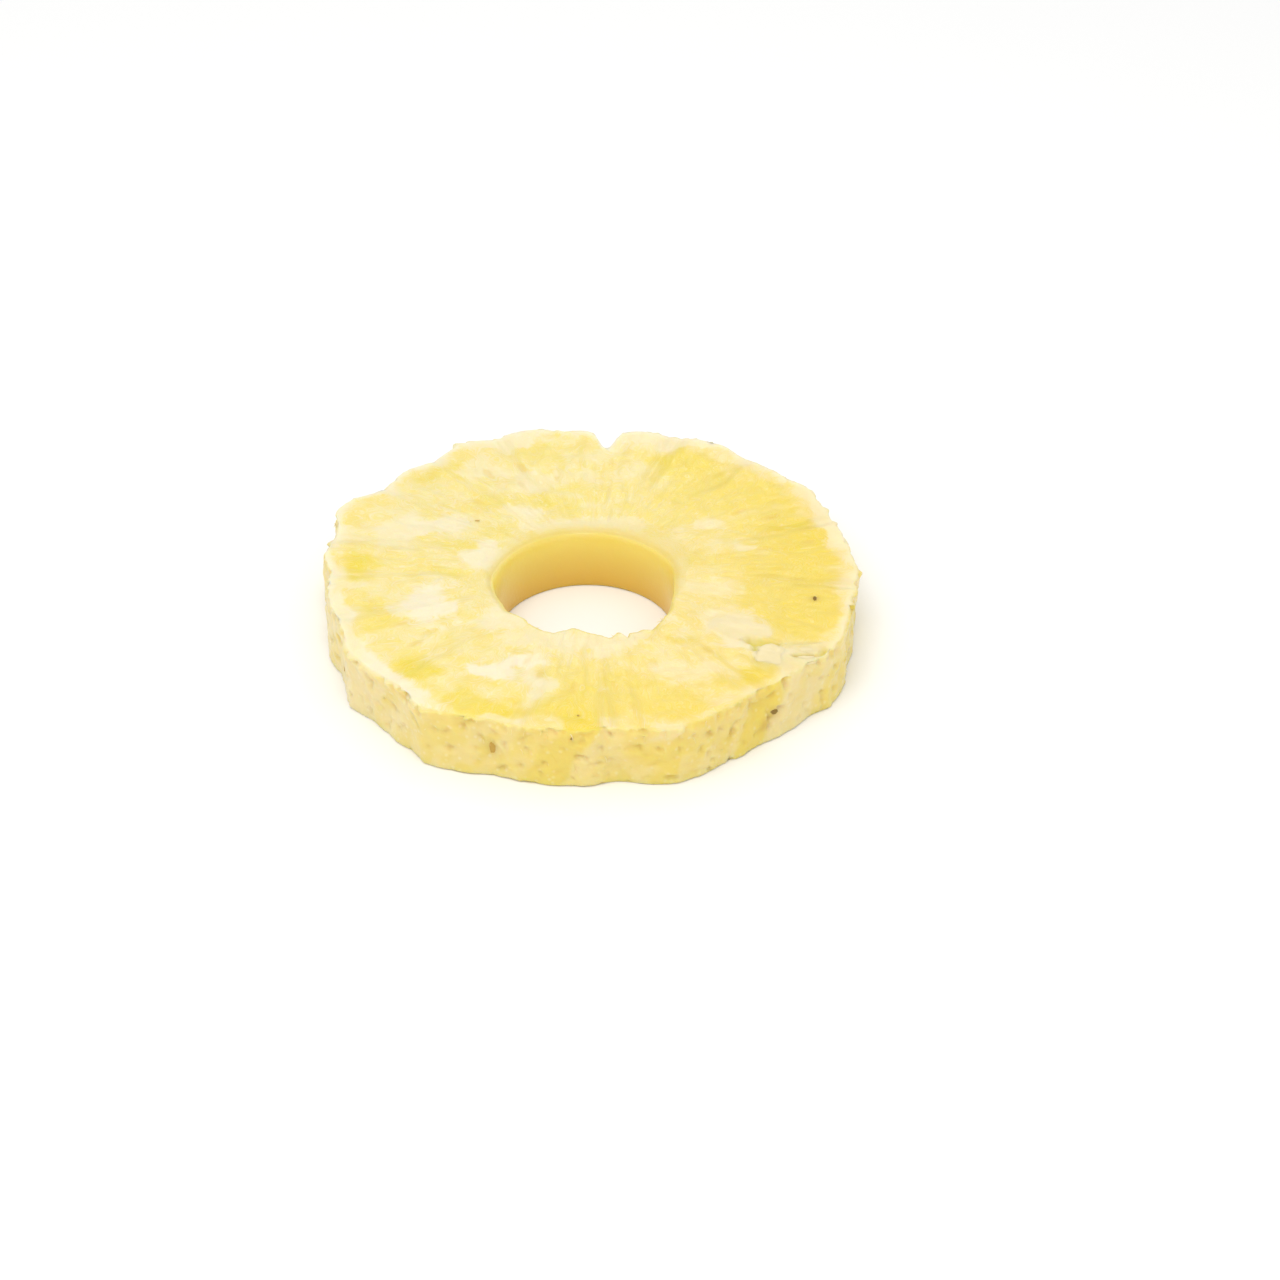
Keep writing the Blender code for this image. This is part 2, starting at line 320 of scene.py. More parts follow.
# The tear near the front edge, where the knife lifted a tongue of flesh: hollows opened behind it and in
# its root, and the pale flesh round them stands up. Each row has the two ends of a stretch, measured from
# the fruit's axis in millimetres, its half width, and how far it rises.
TORN = (
    ((26.2, -20.6), (29.9, -21.8), 0.75, -1.15),
    ((26.9, -23.0), (26.7, -21.6), 0.45, -0.80),
    ((33.6, -25.3), (37.6, -24.9), 0.34, -1.10),
    ((37.9, -24.4), (38.7, -23.5), 0.50, -0.80),
    ((29.0, -26.4), (32.4, -26.0), 2.00, 0.25),
    ((22.5, -16.5), (27.0, -17.6), 2.40, 0.30),
    ((33.8, -22.9), (37.2, -22.6), 0.90, 0.40),
)
wander = np.stack([rough(points, 1.6 * MM, seed) for seed in (9, 10)], axis=-1) * 0.45
from_axis_mm = (points[:, :2] - FRUIT_AXIS) / MM + wander
torn_open = np.zeros(len(points))
for start, end, half_width, rise in TORN:
    bump = bell(distance_to_stretch(from_axis_mm, np.array(start), np.array(end)), half_width)
    face_relief += rise * bump * MM
    if rise < 0:
        torn_open = np.maximum(torn_open, bump)

under_relief = np.abs(rough(points, 5.0 * MM, 11)) * 0.12 * MM

shape = points.copy()
shape[:, :2] += spoke * (side_relief - hole_relief)[:, None] + away * bend[:, None]
shape[:, 2] += face_relief * on_top + under_relief * np.clip(-upward, 0, 1) - bend
shape[:, 2] = np.maximum(shape[:, 2], 0.0)

faces_made = []
count = len(rows)
for c in range(len(columns)):
    beyond = (c + 1) % len(columns)
    for r in range(count):
        following = (r + 1) % count
        faces_made.append((
            c * count + r, c * count + following, beyond * count + following, beyond * count + r))


def piece(name, corners, faces, matter=None):
    """Puts a closed mesh into the scene as a piece of its own, facing outward and smooth."""
    mesh = bpy.data.meshes.new(name)
    mesh.from_pydata(corners, [], faces)
    mesh.validate()
    skin = bmesh.new()
    skin.from_mesh(mesh)
    bmesh.ops.recalc_face_normals(skin, faces=skin.faces)
    skin.to_mesh(mesh)
    skin.free()
    mesh.shade_smooth()
    if matter:
        mesh.materials.append(matter)
    made = bpy.data.objects.new(name, mesh)
    bpy.context.scene.collection.objects.link(made)
    return made


def keep_on(mesh, fields):
    """Keeps named values on a mesh, one for every corner or one for them all, for its material to read."""
    for name, values in fields.items():
        layer = mesh.attributes.new(name, "FLOAT", "POINT")
        layer.data.foreach_set("value", np.broadcast_to(values, len(mesh.vertices)).astype(np.float32))


flesh = piece("pineapple_flesh_ring", shape.tolist(), faces_made)
flesh_tree = BVHTree.FromPolygons(shape.tolist(), faces_made)

# Where the walls between fruitlets show pale, and where the juice stands golden, from the fruit's axis in
# millimetres: (x, y, half width, half depth, how strong the tone is).
PALE = (
    (-27.8, -10.8, 4.8, 6.8, 0.95), (-27.5, 13.9, 6.2, 3.6, 0.75), (-19.3, 5.7, 3.0, 3.8, 0.80),
    (-3.6, 14.6, 7.0, 2.0, 0.50), (-13.2, 17.6, 3.2, 3.8, 0.60), (6.0, 13.4, 3.4, 2.0, 0.40),
    (20.0, 14.0, 3.0, 2.4, 0.60), (26.4, 7.1, 2.4, 2.0, 0.50), (20.4, -5.2, 6.2, 2.8, 0.42),
    (22.2, -16.0, 5.2, 3.6, 0.85), (27.2, -17.4, 3.0, 1.6, 0.85), (30.0, -25.2, 3.8, 2.2, 0.85),
    (37.6, -24.0, 3.6, 2.8, 0.60), (-18.6, -29.2, 2.0, 2.0, 1.00), (-14.3, -28.4, 4.6, 2.1, 1.00),
    (-10.6, -25.8, 2.6, 2.0, 0.95), (-9.3, -33.4, 2.2, 3.2, 0.70), (-37.4, -29.4, 3.8, 4.6, 0.95),
    (-40.4, -22.6, 2.0, 5.0, 0.60), (-31.6, -36.6, 5.0, 2.8, 0.95), (19.1, -29.2, 4.2, 2.0, 0.45),
    (12.6, -28.4, 2.6, 2.6, 0.45), (0.6, -22.2, 8.0, 3.0, 0.58), (34.3, -28.4, 3.0, 2.0, 0.50),
    (13.6, -46.0, 3.0, 1.6, 0.60), (4.3, -47.8, 2.0, 2.0, 0.60), (-11.5, 28.5, 4.4, 3.6, 0.40),
    (-0.6, 29.5, 2.6, 3.0, 0.30), (-40.0, -4.3, 5.0, 1.6, 0.40), (-21.4, -43.9, 3.0, 1.4, 0.50),
    (24.6, -21.2, 3.2, 2.0, 0.90), (-20.0, 31.5, 3.4, 3.4, 0.50), (-35.0, 12.5, 4.0, 3.6, 0.55),
    (-16.4, -14.6, 4.4, 3.0, 0.60), (-11.5, -20.2, 4.6, 2.4, 0.50), (-43.6, -12.0, 2.2, 4.6, 0.80),
    (42.0, 12.5, 2.6, 5.4, 0.75), (38.5, 24.5, 3.6, 3.6, 0.60), (-15.5, 41.5, 6.0, 2.6, 0.60),
    (13.0, 41.5, 8.0, 2.4, 0.60), (-5.0, 30.0, 2.6, 2.6, 0.35), (-10.6, 25.6, 2.4, 2.4, 0.40),
    (-16.0, -43.6, 2.4, 1.0, 0.50), (19.5, -42.0, 2.2, 1.0, 0.40),
)
RIPE = (
    (-40.2, 1.4, 4.2, 5.2, 0.95), (-29.8, -29.6, 5.8, 5.4, 1.00), (36.2, 7.8, 7.0, 8.6, 1.00),
    (15.0, 34.7, 7.6, 5.6, 0.92), (29.3, 23.6, 8.6, 7.6, 0.88), (-26.6, 31.6, 6.4, 5.0, 0.52),
    (-9.9, 37.2, 6.4, 3.6, 0.45), (36.4, -9.3, 9.0, 11.0, 0.90), (-2.1, -43.6, 3.4, 5.8, 1.00),
    (-25.0, 7.9, 5.0, 2.8, 0.50), (-25.7, -0.7, 4.6, 3.0, 0.55), (-8.0, 20.7, 8.0, 2.6, 0.60),
    (-37.4, -13.4, 5.0, 5.4, 0.60), (26.6, -31.2, 6.2, 4.8, 0.95), (2.1, -34.5, 9.0, 7.0, 0.64),
    (7.9, 20.7, 4.6, 3.8, 0.20), (-18.4, 22.1, 3.2, 3.2, 0.45), (14.6, -39.0, 6.4, 5.4, 0.76),
    (29.0, -3.0, 5.0, 8.0, 0.65), (-14.6, -40.6, 7.4, 4.0, 0.95), (-20.6, -38.4, 4.0, 4.0, 0.72),
    (17.5, 23.0, 7.0, 7.4, 0.64), (20.0, 3.6, 5.0, 3.0, 0.60), (31.0, -13.5, 4.6, 4.4, 0.85),
    (-5.0, -31.0, 3.0, 4.0, 0.50), (26.0, 12.0, 5.0, 3.4, 0.50), (35.6, 10.0, 4.4, 4.4, 1.00),
    (-2.1, -44.0, 2.4, 3.4, 1.00), (12.5, 15.5, 3.4, 2.4, 0.50), (37.5, -14.4, 4.4, 2.6, 0.85),
    (14.8, -20.2, 3.0, 2.6, 0.60), (-17.0, 11.0, 3.4, 2.4, 0.40), (-3.0, 25.2, 3.2, 2.0, 0.50),
)

# The fruitlets spiral round the fruit, so what shows on the face has moved round a little lower down. Each
# blotch is also pulled about by two sizes of noise, so that none keeps an oval outline.
spiral = np.radians(SPIRAL * down)
turned = (shape[:, :2] - FRUIT_AXIS) / MM
turned = np.stack([
    turned[:, 0] * np.cos(spiral) - turned[:, 1] * np.sin(spiral),
    turned[:, 0] * np.sin(spiral) + turned[:, 1] * np.cos(spiral),
], axis=-1)
drift = np.stack([
    2.2 * rough(points, 6.0 * MM, seed) + 1.2 * rough(points, 2.4 * MM, seed + 1) for seed in (20, 30)
], axis=-1)


def blotches(table):
    """How far into a blotch each point is, from 0 to about 1, and the strength of the tone round it."""
    inside = np.zeros(len(shape))
    strength = np.zeros(len(shape))
    for x, y, wide, deep, strong in table:
        offset = turned + drift - np.array([x, y])
        share = np.exp(-((offset[:, 0] / wide) ** 2) - (offset[:, 1] / deep) ** 2)
        inside += share
        strength += share * strong
    return inside, strength / np.maximum(inside, 1e-6)


# The face is paler along both of its rims, but hardly along its outer one at the front.
near_rim = bell(past_rim, 2.6 * MM) * on_top
to_edge = np.maximum(wall_radius(outer_table, direction, face_height) - radius, 0)
near_edge = bell(to_edge, 2.2 * MM) * on_top
near_edge *= 1 - 0.8 * bell(turn_between(direction, FRONT), 50)
pale, pale_strength = blotches(PALE)
ripe, ripe_strength = blotches(RIPE)

# A ramp from 0 on the left to 1 towards the right and the front that places painted shade: a darker, warmer
# face there, a duller outer wall on the left.
painted_shade_ramp = np.clip((0.8 * turned[:, 0] - 0.3 * turned[:, 1] + 10) / 34, 0, 1)

# The furrows between fruitlets show pale in the outer half of the face and down the outer wall.
between = bell(aside + 0.8 * rough(points, 4.0 * MM, 16) * MM, 1.3 * MM) * outer_half
keep_on(flesh.data, {
    "pale": pale + 0.35 * near_rim + 0.80 * near_edge + 0.40 * between - 0.10 * on_side,
    "pale_strength": np.maximum(pale_strength * (1 - 0.2 * on_side), near_edge),
    "ripe": ripe + (0.35 - 0.5 * between) * on_side - 0.6 * near_edge,
    "ripe_strength": ripe_strength,
    "corer_wall": turned_in * (0.75 + 0.25 * np.clip(down / (4 * MM), 0, 1)),
    "worn_rim_shade": bell(to_corner, 1.7 * worn + 0.1 * MM),
    "outside": on_side,
    "flat_face": np.abs(upward),
    "torn_open": torn_open * on_top,
    "bruised": bruised,
    "painted_shade_ramp": painted_shade_ramp * (1 - 0.4 * on_side),
})


def colour(code):
    """A colour written in sRGB hex, as the linear value that a shader takes."""
    parts = [int(code[i:i + 2], 16) / 255 for i in (1, 3, 5)]
    return [p / 12.92 if p <= 0.04045 else ((p + 0.055) / 1.055) ** 2.4 for p in parts] + [1.0]


def add(tree, kind, inputs=None, **settings):
    """Adds a shader node with its settings; each input is a value, or the node or socket that feeds it."""
    made = tree.nodes.new(kind)
    for name, value in settings.items():
        setattr(made, name, value)
    for key, value in (inputs or {}).items():
        if isinstance(value, bpy.types.Node):
            value = value.outputs[0]
        if isinstance(value, bpy.types.NodeSocket):
            tree.links.new(value, made.inputs[key])
        else:
            made.inputs[key].default_value = value
    return made


# Ripe pineapple flesh, cut with a knife: juicy pale yellow cells, wet on top, that let light in a few
# millimetres. Fruitlet walls are drier and cream, the ripest cells a clear lemon gold, and both blend in
# soft patches.
flesh_matter = bpy.data.materials.new("ripe_pineapple_flesh")
flesh_matter.use_nodes = True
tree = flesh_matter.node_tree
shader = tree.nodes["Principled BSDF"]

place = add(tree, "ShaderNodeTexCoord").outputs["Object"]
from_axis = add(tree, "ShaderNodeVectorMath", {0: place, 1: (*FRUIT_AXIS, 0)}, operation="SUBTRACT")
split = add(tree, "ShaderNodeSeparateXYZ", {0: from_axis})
level = add(tree, "ShaderNodeCombineXYZ", {"X": split.outputs["X"], "Y": split.outputs["Y"]})
reach = add(tree, "ShaderNodeVectorMath", {0: level}, operation="LENGTH").outputs["Value"]
spokes = add(tree, "ShaderNodeVectorMath", {0: level}, operation="NORMALIZE")
spokes = add(tree, "ShaderNodeVectorMath", {0: spokes, 3: MID_RADIUS}, operation="SCALE")
spoke_split = add(tree, "ShaderNodeSeparateXYZ", {0: spokes})
kept = {
    name: add(tree, "ShaderNodeAttribute", attribute_name=name).outputs["Fac"]
    for name in ("pale", "pale_strength", "ripe", "ripe_strength", "corer_wall", "outside", "flat_face",
                 "worn_rim_shade", "torn_open", "bruised", "painted_shade_ramp")
}


def streaks(gap, run, detail):
    """Noise drawn out along the threads: one feature per gap across them, and per run along them."""
    far = add(tree, "ShaderNodeMath", {0: reach, 1: gap / run}, operation="MULTIPLY")
    polar = add(tree, "ShaderNodeCombineXYZ",
                {"X": spoke_split.outputs["X"], "Y": spoke_split.outputs["Y"], "Z": far})
    deep = add(tree, "ShaderNodeMath", {0: split.outputs["Z"], 1: 1 / (3 * gap)}, operation="MULTIPLY")
    return add(tree, "ShaderNodeTexNoise",
               {"Vector": polar, "W": deep, "Scale": 1 / gap, "Detail": detail, "Roughness": 0.55},
               noise_dimensions="4D")


cloud = add(tree, "ShaderNodeTexNoise",
            {"Vector": place, "Scale": 1 / (3.6 * MM), "Detail": 2.5, "Roughness": 0.5})
grain = add(tree, "ShaderNodeTexNoise",
            {"Vector": place, "Scale": 1 / (0.5 * MM), "Detail": 2, "Roughness": 0.6})
broad_streaks = streaks(1.8 * MM, 8 * MM, 2.5)


def patches(name, low, high, cloud_share, streak_share):
    """Patches where a kept value is high, their edges broken up by the flesh's clouds and threads."""
    clouded = add(tree, "ShaderNodeMath", {0: cloud, 1: cloud_share, 2: kept[name]},
                  operation="MULTIPLY_ADD")
    frayed = add(tree, "ShaderNodeMath", {0: broad_streaks, 1: streak_share, 2: clouded},
                 operation="MULTIPLY_ADD")
    mask = add(tree, "ShaderNodeMapRange", {"Value": frayed, "From Min": low, "From Max": high},
               interpolation_type="SMOOTHSTEP")
    return add(tree, "ShaderNodeMath", {0: mask, 1: kept[name + "_strength"]}, operation="MULTIPLY")


pale_patches = patches("pale", 1.25, 1.80, 1.2, 0.9)
ripe_patches = patches("ripe", 1.20, 1.85, 1.1, 0.8)

# The flesh is mottled everywhere: clouds of riper cells half a centimetre across, and small flecks of both
# tones.
mottle = add(tree, "ShaderNodeTexNoise", {"Vector": place, "Scale": 1 / (5.5 * MM), "Detail": 3})
riper_clouds = add(tree, "ShaderNodeMapRange", {"Value": mottle, "From Min": 0.35, "From Max": 0.65},
                   interpolation_type="SMOOTHSTEP")
flecks = streaks(2.0 * MM, 4.5 * MM, 2)
pale_flecks = add(tree, "ShaderNodeMapRange",
                  {"Value": flecks, "From Min": 0.55, "From Max": 0.64, "To Max": 0.35},
                  interpolation_type="SMOOTHSTEP")
ripe_flecks = add(tree, "ShaderNodeMapRange",
                  {"Value": flecks, "From Min": 0.45, "From Max": 0.36, "To Max": 0.30},
                  interpolation_type="SMOOTHSTEP")

# Single threads show as thin pale lines where long streaks cross their middle value. They come and go along
# their length and fade outward.
long_streaks = streaks(1.1 * MM, 45 * MM, 1)
off_middle = add(tree, "ShaderNodeMath", {0: long_streaks, 1: 0.5}, operation="SUBTRACT")
off_middle = add(tree, "ShaderNodeMath", {0: off_middle}, operation="ABSOLUTE")
thread_lines = add(tree, "ShaderNodeMapRange",
                   {"Value": off_middle, "From Min": 0.0, "From Max": 0.07, "To Min": 1.0, "To Max": 0.0})
comes_and_goes = add(tree, "ShaderNodeMapRange",
                     {"Value": broad_streaks, "From Min": 0.42, "From Max": 0.58})
nearer_core = add(tree, "ShaderNodeMapRange",
                  {"Value": reach, "From Min": 20 * MM, "From Max": 46 * MM, "To Min": 1.0, "To Max": 0.35})
for share in (comes_and_goes, nearer_core, kept["flat_face"]):
    thread_lines = add(tree, "ShaderNodeMath", {0: thread_lines, 1: share}, operation="MULTIPLY")
thread_tint = add(tree, "ShaderNodeMath", {0: thread_lines, 1: 0.6}, operation="MULTIPLY")

# Rows of juice cells lie along the threads, half a millimetre to a millimetre wide, some of them fuller.
cell_rows = streaks(0.7 * MM, 6 * MM, 2.5)
dry_rows = add(tree, "ShaderNodeMapRange",
               {"Value": cell_rows, "From Min": 0.52, "From Max": 0.72, "To Max": 0.40})
full_rows = add(tree, "ShaderNodeMapRange",
                {"Value": cell_rows, "From Min": 0.48, "From Max": 0.28, "To Max": 0.34})

# On the knife's side the threads are cut across and show as pale dots, a millimetre or two apart.
thread_ends = add(tree, "ShaderNodeTexVoronoi", {"Vector": place, "Scale": 1 / (1.5 * MM)})
thread_ends = add(tree, "ShaderNodeMapRange",
                  {"Value": thread_ends, "From Min": 0.06, "From Max": 0.30, "To Min": 0.38, "To Max": 0.0})
thread_ends = add(tree, "ShaderNodeMath", {0: thread_ends, 1: kept["outside"]}, operation="MULTIPLY")

# Seed pockets: small slits along the threads, in the outer half of each fruitlet, deeper in colour.
far = add(tree, "ShaderNodeMath", {0: reach, 1: 0.35}, operation="MULTIPLY")
pocket_place = add(tree, "ShaderNodeCombineXYZ",
                   {"X": spoke_split.outputs["X"], "Y": spoke_split.outputs["Y"], "Z": far})
pocket_cell = add(tree, "ShaderNodeTexVoronoi", {"Vector": pocket_place, "Scale": 1 / (3.2 * MM)})
pocket = add(tree, "ShaderNodeMapRange",
             {"Value": pocket_cell, "From Min": 0.10, "From Max": 0.26, "To Min": 1.0, "To Max": 0.0},
             interpolation_type="SMOOTHSTEP")
begins = add(tree, "ShaderNodeMapRange", {"Value": reach, "From Min": 25 * MM, "From Max": 31 * MM})
ends = add(tree, "ShaderNodeMapRange",
           {"Value": reach, "From Min": 39 * MM, "From Max": 43 * MM, "To Min": 1.0, "To Max": 0.0})
for share in (begins, ends, kept["flat_face"]):
    pocket = add(tree, "ShaderNodeMath", {0: pocket, 1: share}, operation="MULTIPLY")
pocket_tint = add(tree, "ShaderNodeMath", {0: pocket, 1: 0.3}, operation="MULTIPLY")

# The knife's side of the slice is a little drier and duller, and more so on its left, where the extra is
# painted shade. The corer's wall is wetter and more golden, and darker towards its foot, which is painted
# shade.
shaded = add(tree, "ShaderNodeMath", {0: kept["painted_shade_ramp"], 1: -0.5, 2: 0.65}, operation="MULTIPLY_ADD")
drier_side_and_painted_shade = add(tree, "ShaderNodeMath", {0: kept["outside"], 1: shaded}, operation="MULTIPLY")
foot = add(tree, "ShaderNodeMapRange",
           {"Value": split.outputs["Z"], "From Min": 0.0, "From Max": face_height,
            "To Min": 1.0, "To Max": 0.0})
foot_painted_shade = add(tree, "ShaderNodeMath", {0: foot, 1: kept["corer_wall"]}, operation="MULTIPLY")
# Painted shade on the rounded shoulder of the worn rim, which darkens it where it faces the lamp.
rim_shoulder_painted_shade = add(tree, "ShaderNodeMath", {0: kept["worn_rim_shade"], 1: 0.5}, operation="MULTIPLY")
torn_tint = add(tree, "ShaderNodeMath", {0: kept["torn_open"], 1: 0.85}, operation="MULTIPLY")
bruise_tint = add(tree, "ShaderNodeMath", {0: kept["bruised"], 1: 0.5}, operation="MULTIPLY")

# Each tone lies over the ones before it, as far as its own pattern covers them. A mix node keeps its two
# colours and its colour result at these sockets.
FIRST, SECOND, MIXED = 6, 7, 2
tone = colour("#F2E19C")
for cover, code in (
    (riper_clouds, "#F1DB78"), (pale_flecks, "#F4E7C6"), (ripe_flecks, "#EBD85E"),
    (ripe_patches, "#ECD42D"), (full_rows, "#EBD355"), (pale_patches, "#F5E9C6"),
    (dry_rows, "#F6EDCC"), (thread_tint, "#F6EBC4"), (pocket_tint, "#E3BE3A"),
    (drier_side_and_painted_shade, "#E7D089"), (thread_ends, "#F4E8C0"), (kept["corer_wall"], "#FAE872"),
    (foot_painted_shade, "#DBAE45"), (rim_shoulder_painted_shade, "#E9CF62"), (torn_tint, "#E8DF62"), (bruise_tint, "#C0983C"),
):
    tone = add(tree, "ShaderNodeMix", {0: cover, FIRST: tone, SECOND: colour(code)}, data_type="RGBA")
    tone = tone.outputs[MIXED]

# Painted shade: towards the right and the front the colour is multiplied a little darker and warmer.
tone = add(tree, "ShaderNodeMix", {0: kept["painted_shade_ramp"], FIRST: tone, SECOND: colour("#FDF8E9")},
           data_type="RGBA", blend_type="MULTIPLY")
tree.links.new(tone.outputs[MIXED], shader.inputs["Base Color"])

# Wet cells are smoother than the drier cream walls; a thin film of juice lies over both.
wetness = add(tree, "ShaderNodeMapRange", {"Value": pale_patches, "To Min": 0.28, "To Max": 0.46})
tree.links.new(wetness.outputs[0], shader.inputs["Roughness"])
shader.inputs["IOR"].default_value = 1.36
shader.inputs["Subsurface Weight"].default_value = 0.5
shader.inputs["Subsurface Radius"].default_value = (1.0, 0.7, 0.28)
shader.inputs["Subsurface Scale"].default_value = 3.0 * MM
shader.inputs["Coat Weight"].default_value = 0.35
shader.inputs["Coat Roughness"].default_value = 0.12

# Relief too fine for the mesh: the threads stand up, the pockets sink, and the cells give a fine grain.
bumps = add(tree, "ShaderNodeMath", {0: grain, 1: 0.9}, operation="MULTIPLY")
bumps = add(tree, "ShaderNodeMath", {0: cell_rows, 1: kept["flat_face"], 2: bumps},
            operation="MULTIPLY_ADD")
bumps = add(tree, "ShaderNodeMath", {0: thread_lines, 1: 0.4, 2: bumps}, operation="MULTIPLY_ADD")
bumps = add(tree, "ShaderNodeMath", {0: thread_ends, 1: 0.8, 2: bumps}, operation="MULTIPLY_ADD")
bumps = add(tree, "ShaderNodeMath", {0: pocket, 1: -1.2, 2: bumps}, operation="MULTIPLY_ADD")
relief = add(tree, "ShaderNodeBump", {"Strength": 0.5, "Distance": 0.15 * MM, "Height": bumps})
tree.links.new(relief.outputs[0], shader.inputs["Normal"])

flesh.data.materials.append(flesh_matter)
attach(flesh, "root")
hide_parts("pineapple_ring")

# ---------------------------------------------------------------------------------------------------------
# Flakes at the tear. Thin tongues of the same flesh that the knife lifted as it left the slice near its
# front edge: each is fast at its root, thins towards its ragged tip and stands up a little.

# Each flake's middle from the fruit's axis in millimetres, the direction in which its tip points in
# degrees, then in millimetres its length, width and thickness, and its root's and tip's heights over the
# face.
FLAKES = (
    ((30.3, -25.2), 155, 7.0, 5.8, 1.00, -0.60, 0.35), ((35.8, -23.2), 184, 3.8, 1.7, 0.60, -0.20, 0.10),
    ((35.3, -26.1), 97, 1.8, 3.6, 0.50, -0.35, 0.00),
)
FLAKE_LEVELS, FLAKE_ROUND = 22, 72


def rounded_body(levels, around, place_of):
    """A closed body like a pebble. place_of(turn, wide, rise) places each corner: rise goes from 1 at the
    top to -1 underneath, and wide is 1 at the rim."""
    corners = [place_of(0.0, 0.0, 1.0)]
    for i in range(1, levels):
        sweep = math.pi * i / levels
        wide, rise = math.sin(sweep), math.cos(sweep)
        corners += [place_of(2 * math.pi * m / around, wide, rise) for m in range(around)]
    corners.append(place_of(0.0, 0.0, -1.0))
    last = len(corners) - 1
    faces = []
    for m in range(around):
        n = (m + 1) % around
        faces.append((0, 1 + m, 1 + n))
        faces.append((last, last - around + n, last - around + m))
        for i in range(levels - 2):
            a, b = 1 + i * around + m, 1 + i * around + n
            faces.append((a, a + around, b + around, b))
    return corners, faces


def joined(bodies):
    """Several closed bodies as the corners and faces of one mesh."""
    corners, faces = [], []
    for body_corners, body_faces in bodies:
        faces += [tuple(len(corners) + k for k in face) for face in body_faces]
        corners += body_corners
    return corners, faces


def flake(number, middle, points_to, length, width, thick, root_level, tip_level):
    """A tongue of flesh, squarish and ragged in outline, with thin round edges, that rises to its tip."""
    ahead = headings(points_to)
    sideways = headings(points_to + 90.0)

    def corner(turn, wide, rise):
        c, s = math.cos(turn), math.sin(turn)
        square = (abs(c) ** 2.8 + abs(s) ** 2.8) ** (-1 / 2.8)
        ragged = noise.noise(Vector((c * 1.3, s * 1.3, number)))
        ragged += 0.5 * noise.noise(Vector((c * 4, s * 4, number)))
        spread = wide ** 0.7 * square * (1 + 0.22 * ragged)
        along, across = c * spread, s * spread
        x, y = middle + ahead * along * length / 2 + sideways * across * width / 2 + FRUIT_AXIS / MM
        z = face_height / MM + root_level + (tip_level - root_level) * (0.5 + 0.5 * along)
        swell = 0.5 * math.copysign(abs(rise) ** 0.7, rise)
        z += thick * (swell - 0.15 * (along * along + across * across))
        z += 0.10 * noise.noise(Vector((x * 0.8, y * 0.8, number)))
        return x * MM, y * MM, z * MM

    return rounded_body(FLAKE_LEVELS, FLAKE_ROUND, corner)


# Torn pineapple flesh: the same flesh, pulled apart along its threads. A flake is too thin for light to
# spread in, so it is lit as a plain surface.
torn_matter = flesh_matter.copy()
torn_matter.name = "torn_pineapple_flesh"
torn_matter.node_tree.nodes["Principled BSDF"].inputs["Subsurface Weight"].default_value = 0.0

flakes = piece("torn_flakes", *joined(flake(n, *row) for n, row in enumerate(FLAKES)), torn_matter)
keep_on(flakes.data, {"pale": 0.72, "pale_strength": 0.85, "flat_face": 1.0, "painted_shade_ramp": 1.0})
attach(flakes, "root")

# ---------------------------------------------------------------------------------------------------------
# Loose threads. Strands of the same flesh, a tenth of a millimetre or two thick, which the corer and the
# knife pulled out instead of cutting. They stand at the hole's front rim, round the tear and on the outer
# wall.

draw = random.Random(11)
THREAD_SIDES, THREAD_STEPS = 5, 7
THREAD_ROOT = 0.3 * MM  # how far a strand starts inside the flesh
TEAR_START, TEAR_END, TEAR_SLOPE = (24.5, -19.6), 37.8, -0.36  # in millimetres from the fruit's axis


def strand(start, way, length, thick, droop):
    """A tapered, drooping strand from a point on the flesh, closed at both ends."""
    middles = [Vector(start) - way * THREAD_ROOT]
    heading_now = way.copy()
    for _ in range(THREAD_STEPS - 1):
        middles.append(middles[-1] + heading_now * length / (THREAD_STEPS - 1))
        kink = Vector((draw.uniform(-1, 1), draw.uniform(-1, 1), draw.uniform(-1, 1))) * 0.25
        heading_now = (heading_now + kink + Vector((0, 0, -droop))).normalized()
    corners = []
    for k, middle in enumerate(middles):
        before = middles[max(k - 1, 0)]
        after = middles[min(k + 1, len(middles) - 1)]
        across = (after - before).orthogonal().normalized()
        other = (after - before).cross(across).normalized()
        half = thick / 2 * (1 - 0.75 * k / (THREAD_STEPS - 1))
        for m in range(THREAD_SIDES):
            turn = 2 * math.pi * m / THREAD_SIDES
            corners.append(tuple(middle + (across * math.cos(turn) + other * math.sin(turn)) * half))
    root_end = tuple(reversed(range(THREAD_SIDES)))
    tip_end = tuple(len(corners) - THREAD_SIDES + m for m in range(THREAD_SIDES))
    faces = [root_end, tip_end]
    for k in range(THREAD_STEPS - 1):
        for m in range(THREAD_SIDES):
            a, b = k * THREAD_SIDES + m, k * THREAD_SIDES + (m + 1) % THREAD_SIDES
            faces.append((a, b, b + THREAD_SIDES, a + THREAD_SIDES))
    return corners, faces


